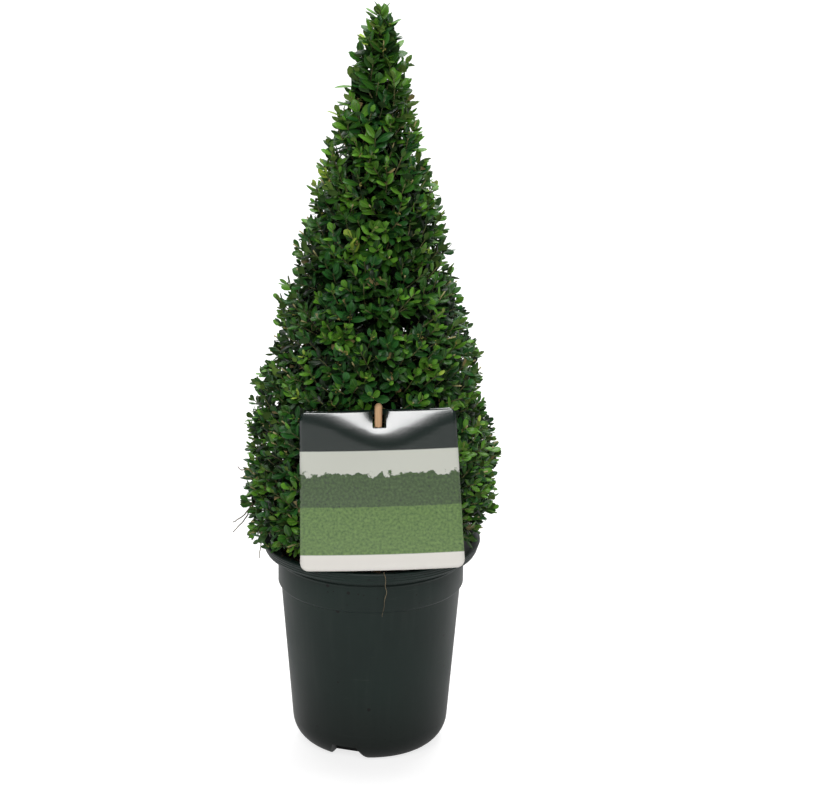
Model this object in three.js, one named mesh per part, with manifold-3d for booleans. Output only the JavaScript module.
// Boxwood cone topiary in its nursery pot: a clipped cone of foliage on one leaning stem
// with short boughs, rooted in compost, with a picture label on a wooden stick in front.
// Millimetres, +Z up, -Y is the front. The origin is the centre of the pot's underside.
import * as THREE from "three";
import { mergeVertices } from "three/addons/utils/BufferGeometryUtils.js";
import Module from "manifold-3d";

const wasm = await Module();
wasm.setup();

// ---- Driving dimensions ----

const GAP = 0.4; // clearance between neighbouring pieces
const ROUND_SEGMENTS = 34; // facets round the pot

const POT_HEIGHT = 190;
const POT_WALL = 2;
const FOOT_RADIUS = 66.6; // of the wall's cone, extended down to the floor
const WALL_TAPER = 0.083; // growth of the wall's radius per mm of height
const FOOT_ROUND = 26; // radius of the rounded lower edge
const FOOT_STEPS = 5; // facets of that rounding
const SHOULDER_Z = 148; // stacking step between wall and neck
const SHOULDER_STEP = 2.5;
const NECK_RADIUS = 81.5;
const LIP_Z = 179;
const LIP_FOOT_RADIUS = 92.5;
const RIM_RADIUS = 96;
const RIM_INNER_RADIUS = 89;

const NOTCH_COUNT = 3; // drainage notches in the foot
const NOTCH_FIRST_DEG = -109; // the one that shows, just left of the front
const NOTCH_HEIGHT = 17;
const NOTCH_FOOT_WIDTH = 36;
const NOTCH_TOP_WIDTH = 22;
const NOTCH_INNER_RADIUS = 36;
const DRAIN_RADIUS = 4;
const DRAIN_RING = 24; // distance of the round drain holes from the axis

const SOIL_Z = 176; // level of the compost at the stem
const SOIL_EDGE_DROP = 4;

const CROWN_TOP_Z = 661;
const CONE_APEX_Z = 694; // where the crown's straight sides would meet
const CONE_SLOPE = 0.269; // crown radius per mm below that apex
const SKIRT_RADIUS = 116; // widest part of the crown
const SKIRT_ROUND = 5; // softness of the turn from cone to skirt
const SKIRT_FOOT_Z = 197; // lower edge of the skirt at front and back
const SKIRT_DROOP = 13; // how much higher it is at +X, and lower at -X
const SKIRT_WAVE = 2.5; // rise and fall of that edge
const CROWN_LEAN = 0.0125; // sideways lean towards +X per mm of height
const LEAN_FROM_Z = 300;
const LUMP_DEPTH = 4.5; // unevenness of the clipped surface
const TIP_ROUND = 16; // height over which the tip closes
const CROWN_SECTORS = 36;
const CROWN_RINGS = 30;
const UNDERSIDE_SHARE = 0.14; // share of the rings on the crown's underside
const UNDERSIDE_EDGE = 0.93; // radius where the underside turns up, as a share of the skirt's

const FOLIAGE_DEPTH = 44; // leafy shell round the bare inside of the crown
const CORE_TOP_Z = 452;
const CORE_FOOT_Z = 150;
const CORE_STRAIGHT_Z = 255; // the core is straight up to here, then follows the cone
const CORE_CONE_Z = 330;
const SKIRT_TOP_Z = 335;
const MIDDLE_TOP_Z = 470;
const LEADER_FOOT_Z = 577;
const SKIRT_MASSES = 5;
const MIDDLE_MASSES = 4;
const TIER_WAVE = 16; // rise and fall of the seams between tiers, 150 mm out
const TIER_REACH = 150; // where that wave and upsweep are measured
const TIER_UPSWEEP = 22; // how much the seams rise from the stem outwards
const WEDGE_TILT = 0.07; // lean of the seams between neighbouring masses

const STEM_TOP_Z = 640;
const STEM_RADIUS = 7.5; // just above the root flare
const STEM_TIP_RADIUS = 1.1;
const FLARE_RADIUS = 13; // at the flat foot
const FLARE_HEIGHT = 14;

const BOUGH_RADIUS = 3.8;
const BOUGH_TIP_RADIUS = 2;
const BOUGH_RISE = 62;
const BOUGH_REACH = 76;
const BOUGH_STEP = 7; // difference in height from one bough of a ring to the next
const LOWER_BOUGH_Z = 190;
const MIDDLE_BOUGH_Z = 318;
const LOWER_TURN_DEG = 18;
const MIDDLE_TURN_DEG = 45;

const CARD_BOTTOM_WIDTH = 139.8;
const CARD_TOP_WIDTH = 131;
const CARD_HEIGHT = 136.5;
const CARD_CENTRE_X = 11.4;
const CARD_FOOT_Z = 194.5; // lower edge, at its middle
const CARD_FOOT_Y = -97.5;
const CARD_BACK_LEAN = 0.13; // set-back per mm of height
const CARD_ROLL = 0.04; // turned anticlockwise in its own plane
const CARD_BOW = 3; // the sides stand this far behind the middle
const CARD_THICKNESS = 1;
const CARD_CORNER = 7;
const SLOT_WIDTH = 13;
const SLOT_DEPTH = 15;
const STRAP_BACK = 10.4; // the strip above the slot passes this far behind the sheet
const SLOT_X = 6.6; // middle of the slot

const STICK_RADIUS = 3.2;
const STICK_X = 6.6;
const STICK_Y = -75.5;
const STICK_TOP_Z = 336;
const STICK_NOSE = 4; // height of its tapered top end

// ---- Solids from three.js geometry ----

function asSolid(geometry) {
  const plain = geometry.index ? geometry.toNonIndexed() : geometry.clone();
  for (const extra of ["normal", "uv"]) {
    plain.deleteAttribute(extra);
  }
  const merged = mergeVertices(plain, 1e-4);
  const kept = [];
  for (let i = 0; i < merged.index.count; i += 3) {
    const [a, b, c] = [0, 1, 2].map((k) => merged.index.getX(i + k));
    if (a !== b && b !== c && c !== a) {
      kept.push(a, b, c);
    }
  }
  const solid = (order) =>
    new wasm.Manifold(
      new wasm.Mesh({
        numProp: 3,
        vertProperties: new Float32Array(merged.attributes.position.array),
        triVerts: new Uint32Array(order),
      }),
    );
  const first = solid(kept);
  return first.volume() > 0 ? first : solid(kept.reverse());
}

function asGeometry(solid) {
  const mesh = solid.getMesh();
  const geometry = new THREE.BufferGeometry();
  const positions = new THREE.BufferAttribute(new Float32Array(mesh.vertProperties), 3);
  geometry.setAttribute("position", positions);
  geometry.setIndex(new THREE.BufferAttribute(new Uint32Array(mesh.triVerts), 1));
  geometry.computeVertexNormals();
  return geometry;
}

function lathe(profile, segments = ROUND_SEGMENTS) {
  const points = profile.map(([r, z]) => new THREE.Vector2(r, z));
  return asSolid(new THREE.LatheGeometry(points, segments).rotateX(Math.PI / 2));
}

function reshape(geometry, place) {
  const positions = geometry.attributes.position;
  const point = new THREE.Vector3();
  for (let i = 0; i < positions.count; i += 1) {
    point.fromBufferAttribute(positions, i);
    place(point);
    positions.setXYZ(i, point.x, point.y, point.z);
  }
  return geometry;
}

function block(size, centre) {
  return asSolid(new THREE.BoxGeometry(...size).translate(...centre));
}

function largestPiece(solid) {
  const pieces = solid.decompose();
  return pieces.reduce((best, piece) => (piece.volume() > best.volume() ? piece : best));
}

function smoothMin(a, b, softness) {
  const spread = Math.sqrt((a - b) ** 2 + 4 * softness ** 2);
  return (a + b - spread) / 2;
}

// ---- Pot and compost ----

const wallRadius = (z) => FOOT_RADIUS + WALL_TAPER * z;

// Floor, rounded edge and wall, each set in by the same amount.
function vesselProfile(inset, topZ) {
  const wallAngle = -Math.atan(WALL_TAPER);
  const centreR = wallRadius(FOOT_ROUND) - FOOT_ROUND / Math.cos(wallAngle);
  const profile = [[0, inset]];
  for (let i = 0; i <= FOOT_STEPS; i += 1) {
    const angle = -Math.PI / 2 + (wallAngle + Math.PI / 2) * (i / FOOT_STEPS);
    const r = centreR + (FOOT_ROUND - inset) * Math.cos(angle);
    profile.push([r, FOOT_ROUND + (FOOT_ROUND - inset) * Math.sin(angle)]);
  }
  profile.push([wallRadius(SHOULDER_Z) - inset, SHOULDER_Z]);
  profile.push([NECK_RADIUS - inset, SHOULDER_Z + SHOULDER_STEP]);
  profile.push([NECK_RADIUS - inset, topZ]);
  return profile;
}

// One notch, or the space round it when grown: a trapezoid running outwards.
function notch(index, grow) {
  const azimuth = THREE.MathUtils.degToRad(NOTCH_FIRST_DEG + (index * 360) / NOTCH_COUNT);
  const foot = NOTCH_FOOT_WIDTH / 2 + grow;
  const top = NOTCH_TOP_WIDTH / 2 + grow;
  const below = -10;
  const section = new THREE.Shape([
    new THREE.Vector2(-foot, below),
    new THREE.Vector2(foot, below),
    new THREE.Vector2(foot, 0),
    new THREE.Vector2(top, NOTCH_HEIGHT + grow),
    new THREE.Vector2(-top, NOTCH_HEIGHT + grow),
    new THREE.Vector2(-foot, 0),
  ]);
  const inner = NOTCH_INNER_RADIUS - grow;
  const prism = new THREE.ExtrudeGeometry(section, {
    depth: RIM_RADIUS - inner,
    bevelEnabled: false,
  });
  const outwards = new THREE.Vector3(Math.cos(azimuth), Math.sin(azimuth), 0);
  const up = new THREE.Vector3(0, 0, 1);
  const along = new THREE.Vector3().crossVectors(up, outwards);
  const frame = new THREE.Matrix4().makeBasis(along, up, outwards);
  frame.setPosition(outwards.clone().multiplyScalar(inner));
  return asSolid(prism.applyMatrix4(frame));
}

function makePot() {
  const outside = lathe([
    ...vesselProfile(0, LIP_Z - 1),
    [LIP_FOOT_RADIUS, LIP_Z],
    [RIM_RADIUS - 0.8, POT_HEIGHT - 1.5],
    [RIM_RADIUS - 1.5, POT_HEIGHT],
    [0, POT_HEIGHT],
  ]);
  let hollow = lathe([
    ...vesselProfile(POT_WALL, LIP_Z + POT_WALL - 0.5),
    [RIM_INNER_RADIUS - 1.5, LIP_Z + POT_WALL],
    [RIM_INNER_RADIUS, POT_HEIGHT + 1],
    [0, POT_HEIGHT + 1],
  ]);
  let pot = outside;
  for (let i = 0; i < NOTCH_COUNT; i += 1) {
    hollow = hollow.subtract(notch(i, POT_WALL));
    pot = pot.subtract(notch(i, 0));
  }
  pot = pot.subtract(hollow);
  for (let i = 0; i < NOTCH_COUNT; i += 1) {
    const azimuth = THREE.MathUtils.degToRad(NOTCH_FIRST_DEG + ((i + 0.5) * 360) / NOTCH_COUNT);
    const drain = new THREE.CylinderGeometry(DRAIN_RADIUS, DRAIN_RADIUS, 4 * POT_WALL, 12);
    drain.rotateX(Math.PI / 2);
    drain.translate(DRAIN_RING * Math.cos(azimuth), DRAIN_RING * Math.sin(azimuth), 0);
    pot = pot.subtract(asSolid(drain));
  }
  return pot;
}

function makeSoil() {
  const edge = SOIL_Z - SOIL_EDGE_DROP;
  let soil = lathe([
    ...vesselProfile(POT_WALL + GAP, edge),
    [NECK_RADIUS * 0.5, SOIL_Z],
    [0, SOIL_Z],
  ]);
  for (let i = 0; i < NOTCH_COUNT; i += 1) {
    soil = soil.subtract(notch(i, POT_WALL + GAP));
  }
  return soil;
}

// ---- Stem and boughs ----

const leanAt = (z) => CROWN_LEAN * (z - LEAN_FROM_Z);

function stemAxis(z) {
  const h = (z - SOIL_Z) / (STEM_TOP_Z - SOIL_Z);
  const sway = 5 * Math.sin(2 * Math.PI * h);
  return new THREE.Vector3(leanAt(z) + sway * h, 4 * Math.sin(Math.PI * h), z);
}

function stemRadius(z) {
  const h = (z - SOIL_Z) / (STEM_TOP_Z - SOIL_Z);
  const shaft = THREE.MathUtils.lerp(STEM_RADIUS, STEM_TIP_RADIUS, Math.pow(h, 0.85));
  const flare = (FLARE_RADIUS - STEM_RADIUS) * Math.exp((SOIL_Z - z) / FLARE_HEIGHT);
  return shaft + flare;
}

// The stem's rings are level, so its foot is a flat cut on the compost.
function makeStem(grow) {
  const tube = new THREE.CylinderGeometry(1, 1, 1, 10, 14);
  reshape(tube, (p) => {
    const share = Math.pow(p.y + 0.5, 1.6);
    const top = STEM_TOP_Z + grow;
    const foot = SOIL_Z + GAP - grow;
    const z = THREE.MathUtils.lerp(foot, top, share);
    const level = Math.max(z, SOIL_Z);
    const azimuth = Math.atan2(p.z, p.x);
    const flareShare = Math.exp((SOIL_Z - level) / FLARE_HEIGHT);
    const ribs = 1 + 0.14 * flareShare * Math.cos(5 * azimuth);
    const axis = stemAxis(level);
    const reach = Math.hypot(p.x, p.z) * (stemRadius(level) * ribs + grow);
    p.set(axis.x + reach * Math.cos(azimuth), axis.y + reach * Math.sin(azimuth), z);
  });
  return asSolid(tube);
}

// A tapering limb from the stem's axis, curving up as it runs outwards.
function makeBough(azimuthDeg, fromZ) {
  const azimuth = THREE.MathUtils.degToRad(azimuthDeg);
  const outwards = new THREE.Vector3(Math.cos(azimuth), Math.sin(azimuth), 0);
  const start = stemAxis(fromZ);
  const knee = start.clone().addScaledVector(outwards, BOUGH_REACH * 0.55);
  knee.z += BOUGH_RISE * 0.35;
  const tip = start.clone().addScaledVector(outwards, BOUGH_REACH);
  tip.z += BOUGH_RISE;
  const route = new THREE.QuadraticBezierCurve3(start, knee, tip);
  const side = new THREE.Vector3(-outwards.y, outwards.x, 0);
  const tube = new THREE.CylinderGeometry(1, 1, 1, 8, 7);
  reshape(tube, (p) => {
    const share = p.y + 0.5;
    const radius = THREE.MathUtils.lerp(BOUGH_RADIUS, BOUGH_TIP_RADIUS, share);
    const ahead = route.getTangent(share);
    const above = new THREE.Vector3().crossVectors(ahead, side);
    const offset = side.clone().multiplyScalar(p.x * radius);
    offset.addScaledVector(above, p.z * radius);
    p.copy(route.getPoint(share)).add(offset);
  });
  return asSolid(tube);
}

// ---- Crown ----

function crownRadius(azimuth, z) {
  const cone = CONE_SLOPE * (CONE_APEX_Z - z);
  const body = smoothMin(cone, SKIRT_RADIUS, SKIRT_ROUND);
  const intoTip = Math.max(0, 1 - (CROWN_TOP_Z - z) / TIP_ROUND);
  const tip = 0.2 + 0.8 * Math.sqrt(Math.max(0, 1 - intoTip ** 2));
  const coarse = Math.sin(3 * azimuth + z / 41) * Math.sin(z / 33 - 2 * azimuth + 1.1);
  const fine = Math.sin(7 * azimuth - z / 19 + 0.6) * Math.sin(z / 15 + 4 * azimuth);
  const lumps = LUMP_DEPTH * (0.7 * coarse + 0.45 * fine);
  return body * tip + lumps * Math.min(1, body / 60);
}

const skirtFoot = (azimuth) =>
  SKIRT_FOOT_Z + SKIRT_DROOP * Math.cos(azimuth) + SKIRT_WAVE * Math.sin(5 * azimuth);

// Closed outer surface: an underside that rounds up into the clipped cone.
function makeCrown() {
  const ball = new THREE.SphereGeometry(1, CROWN_SECTORS, CROWN_RINGS);
  reshape(ball.rotateX(Math.PI / 2), (p) => {
    const share = 1 - Math.acos(THREE.MathUtils.clamp(p.z, -1, 1)) / Math.PI;
    const azimuth = Math.atan2(p.y, p.x);
    const foot = skirtFoot(azimuth);
    const atPole = share < 1e-6 || share > 1 - 1e-6;
    const climb = Math.max(0, (share - UNDERSIDE_SHARE) / (1 - UNDERSIDE_SHARE));
    const z = THREE.MathUtils.lerp(foot, CROWN_TOP_Z, Math.pow(climb, 0.94));
    const under = UNDERSIDE_EDGE * Math.pow(Math.min(1, share / UNDERSIDE_SHARE), 0.6);
    const above = 1 - (1 - UNDERSIDE_EDGE) * Math.exp(-climb * 30);
    const edge = share < UNDERSIDE_SHARE ? under : above;
    const reach = atPole ? 0 : crownRadius(azimuth, z) * edge;
    const level = atPole && share < 0.5 ? SKIRT_FOOT_Z : z;
    p.set(leanAt(level) + reach * Math.cos(azimuth), reach * Math.sin(azimuth), level);
  });
  return asSolid(ball);
}

// The bare inside of the crown, where stem and boughs run.
function makeCore(shrink) {
  const radius = (z) => CONE_SLOPE * (CONE_APEX_Z - z) - FOLIAGE_DEPTH - shrink;
  return lathe(
    [
      [0, CORE_FOOT_Z],
      [SKIRT_RADIUS - FOLIAGE_DEPTH - shrink, CORE_FOOT_Z],
      [SKIRT_RADIUS - FOLIAGE_DEPTH - shrink, CORE_STRAIGHT_Z],
      [radius(CORE_CONE_Z), CORE_CONE_Z],
      [radius(CORE_TOP_Z), CORE_TOP_Z - shrink],
      [0, CORE_TOP_Z - shrink],
    ],
    20,
  );
}

// Everything below a wavy seam between two tiers of foliage.
function below(seamZ, shift) {
  const depth = CROWN_TOP_Z;
  const drum = new THREE.CylinderGeometry(TIER_REACH, TIER_REACH, depth, 24);
  drum.rotateX(Math.PI / 2).translate(0, 0, seamZ - depth / 2 + shift);
  reshape(drum, (p) => {
    if (p.z < seamZ + shift - 1) {
      return;
    }
    const azimuth = Math.atan2(p.y, p.x);
    const rim = Math.hypot(p.x, p.y) / TIER_REACH;
    const wave = Math.sin(2 * azimuth + seamZ) + 0.6 * Math.sin(3 * azimuth - seamZ);
    p.z += rim * (TIER_UPSWEEP + TIER_WAVE * wave);
  });
  return asSolid(drum);
}

// A wedge of a tier: one of several equal sectors, set back from its neighbours.
function sector(index, count, turnDeg) {
  const half = Math.PI / count;
  const middle = THREE.MathUtils.degToRad(turnDeg) + 2 * half * index;
  const reach = 400;
  const apex = GAP / 2 / Math.sin(half);
  const wedge = new THREE.Shape([
    new THREE.Vector2(apex, 0),
    new THREE.Vector2(apex + reach * Math.cos(half), -reach * Math.sin(half)),
    new THREE.Vector2(apex + reach * Math.cos(half), reach * Math.sin(half)),
  ]);
  const height = CROWN_TOP_Z;
  const slab = new THREE.ExtrudeGeometry(wedge, { depth: height, bevelEnabled: false });
  slab.rotateZ(middle).translate(0, 0, -height / 2);
  slab.rotateX(WEDGE_TILT).rotateY(-WEDGE_TILT);
  return asSolid(slab.translate(0, 0, height / 2));
}

// ---- Label and stick ----

// A sheet position (across, backwards, up from the lower edge) put in its place.
function placeOnCard(p) {
  const across = p.x;
  const up = p.z;
  const narrowing = 1 - (1 - CARD_TOP_WIDTH / CARD_BOTTOM_WIDTH) * (up / CARD_HEIGHT);
  const x = across * narrowing;
  p.set(
    CARD_CENTRE_X + x * Math.cos(CARD_ROLL) - up * Math.sin(CARD_ROLL),
    CARD_FOOT_Y + CARD_BACK_LEAN * up + p.y,
    CARD_FOOT_Z + up * Math.cos(CARD_ROLL) + x * Math.sin(CARD_ROLL),
  );
}

function cardOutline() {
  const half = CARD_BOTTOM_WIDTH / 2;
  const shape = new THREE.Shape();
  shape.absarc(half - CARD_CORNER, CARD_CORNER, CARD_CORNER, -Math.PI / 2, 0);
  shape.absarc(half - CARD_CORNER, CARD_HEIGHT - CARD_CORNER, CARD_CORNER, 0, Math.PI / 2);
  shape.absarc(CARD_CORNER - half, CARD_HEIGHT - CARD_CORNER, CARD_CORNER, Math.PI / 2, Math.PI);
  shape.absarc(CARD_CORNER - half, CARD_CORNER, CARD_CORNER, Math.PI, 1.5 * Math.PI);
  return shape;
}

// The bowed sheet is cut to its outline and then set in place. The strip above the slot
// passes behind the stick.
function makeCard() {
  const strips = 12;
  const slab = new THREE.BoxGeometry(
    CARD_BOTTOM_WIDTH + 2,
    CARD_THICKNESS,
    CARD_HEIGHT + 2,
    strips,
  );
  reshape(slab, (p) => {
    p.y += CARD_BOW * (p.x / (CARD_BOTTOM_WIDTH / 2)) ** 2;
  });
  const reach = 2 * (CARD_BOW + CARD_THICKNESS);
  const outline = new THREE.ExtrudeGeometry(cardOutline(), {
    depth: 2 * reach,
    bevelEnabled: false,
    curveSegments: 5,
  });
  outline.rotateX(Math.PI / 2).translate(0, reach, 0);
  const slotAcross = SLOT_X - CARD_CENTRE_X + CARD_HEIGHT * Math.sin(CARD_ROLL);
  const slotMiddle = [slotAcross, 0, CARD_HEIGHT - SLOT_DEPTH / 2 + 1];
  const sheet = asSolid(slab.translate(0, 0, CARD_HEIGHT / 2))
    .intersect(asSolid(outline))
    .subtract(block([SLOT_WIDTH, 9, SLOT_DEPTH + 2], slotMiddle));
  const strapHeight = SLOT_DEPTH - 3;
  const strapZ = CARD_HEIGHT - strapHeight / 2 - 0.6;
  const strapSize = [SLOT_WIDTH + 2 * CARD_THICKNESS, CARD_THICKNESS, strapHeight];
  let strap = block(strapSize, [slotAcross, STRAP_BACK, strapZ]);
  for (const side of [-1, 1]) {
    const x = slotAcross + (side * (SLOT_WIDTH + CARD_THICKNESS)) / 2;
    strap = strap.add(block([CARD_THICKNESS, STRAP_BACK, strapHeight], [x, STRAP_BACK / 2, strapZ]));
  }
  return asSolid(reshape(asGeometry(sheet.add(strap)), placeOnCard));
}

function makeStick(grow) {
  const foot = SOIL_Z;
  const shaft = new THREE.CylinderGeometry(
    STICK_RADIUS + grow,
    STICK_RADIUS + grow,
    STICK_TOP_Z - STICK_NOSE - foot + grow,
    12,
  );
  const noseFoot = STICK_RADIUS + grow;
  const nose = new THREE.CylinderGeometry(noseFoot * 0.6, noseFoot, STICK_NOSE, 12);
  shaft.rotateX(Math.PI / 2).translate(0, 0, (foot + STICK_TOP_Z - STICK_NOSE + grow) / 2);
  nose.rotateX(Math.PI / 2).translate(0, 0, STICK_TOP_Z - STICK_NOSE / 2 + grow);
  return asSolid(shaft).add(asSolid(nose)).translate([STICK_X, STICK_Y, 0]);
}

// The flat where the label presses the leaves back: everything in front of its sheet.
function makeCardPress() {
  const depth = 80;
  const margin = 5;
  const behind = CARD_BOW + 2;
  const slab = new THREE.BoxGeometry(
    CARD_BOTTOM_WIDTH + 2 * margin,
    depth,
    CARD_HEIGHT + 2 * margin,
  );
  slab.translate(0, behind - depth / 2, CARD_HEIGHT / 2);
  reshape(slab, (p) => {
    const forwards = p.y;
    p.set(
      CARD_CENTRE_X + p.x,
      CARD_FOOT_Y + CARD_BACK_LEAN * p.z + forwards,
      CARD_FOOT_Z + p.z,
    );
  });
  const strapRoom = block(
    [SLOT_WIDTH + 8, 60, SLOT_DEPTH + 12],
    [SLOT_X, STICK_Y - 22, STICK_TOP_Z - SLOT_DEPTH + 4],
  );
  return asSolid(slab).add(strapRoom);
}

// ---- Assembly ----

const topiary = new THREE.Group();

function addNode(name, solid, [color, roughness]) {
  const material = new THREE.MeshStandardMaterial({ color, roughness, metalness: 0 });
  const mesh = new THREE.Mesh(asGeometry(solid), material);
  mesh.name = name;
  topiary.add(mesh);
}

const POT_FINISH = [0x3a4644, 0.5];
const SOIL_FINISH = [0x3a2a1d, 0.95];
const BARK_FINISH = [0x8a7a5c, 0.85];
const FOLIAGE_FINISH = [0x2f5a26, 0.6];
const CARD_FINISH = [0xe9e6df, 0.25];
const STICK_FINISH = [0xd9b184, 0.7];

addNode("pot", makePot(), POT_FINISH);
addNode("soil", makeSoil(), SOIL_FINISH);
addNode("stem", makeStem(0), BARK_FINISH);
addNode("label_card", makeCard(), CARD_FINISH);
addNode("label_stick", makeStick(0), STICK_FINISH);

// The rim's clearance: foliage hangs into the pot's mouth, but never through its wall.
const mouth = NECK_RADIUS - POT_WALL - 2;
const rimRoom = lathe([
  [mouth, CORE_FOOT_Z],
  [2 * RIM_RADIUS, CORE_FOOT_Z],
  [2 * RIM_RADIUS, POT_HEIGHT + 2],
  [RIM_INNER_RADIUS - 4, POT_HEIGHT + 2],
  [mouth, LIP_Z + 2 * POT_WALL],
  [mouth, CORE_FOOT_Z],
]);

const crown = makeCrown()
  .subtract(makeCore(0))
  .subtract(makeStem(GAP))
  .subtract(rimRoom)
  .subtract(makeCardPress())
  .subtract(makeStick(GAP));

const boughRoom = makeCore(GAP).subtract(makeStem(GAP));

// Seams between the tiers, from the open space under the skirt to above the tip.
const seams = [100, SKIRT_TOP_Z, MIDDLE_TOP_Z, LEADER_FOOT_Z, CROWN_TOP_Z + 80];

function tier(index) {
  const capped = crown.intersect(below(seams[index + 1], -GAP / 2));
  return capped.subtract(below(seams[index], GAP / 2));
}

function addMasses(tierIndex, massName, boughName, count, turnDeg, boughFromZ) {
  const ring = tier(tierIndex);
  for (let i = 0; i < count; i += 1) {
    const mass = ring.intersect(sector(i, count, turnDeg));
    addNode(`${massName}_${i + 1}`, largestPiece(mass), FOLIAGE_FINISH);
    const azimuthDeg = turnDeg + (360 / count) * i;
    const bough = makeBough(azimuthDeg, boughFromZ + BOUGH_STEP * ((i * 2) % count));
    addNode(`${boughName}_${i + 1}`, largestPiece(bough.intersect(boughRoom)), BARK_FINISH);
  }
}

addMasses(0, "skirt_foliage", "lower_bough", SKIRT_MASSES, LOWER_TURN_DEG, LOWER_BOUGH_Z);
addMasses(1, "middle_foliage", "middle_bough", MIDDLE_MASSES, MIDDLE_TURN_DEG, MIDDLE_BOUGH_Z);
addNode("upper_foliage", largestPiece(tier(2)), FOLIAGE_FINISH);
addNode("leader_foliage", largestPiece(tier(3)), FOLIAGE_FINISH);

export default topiary;
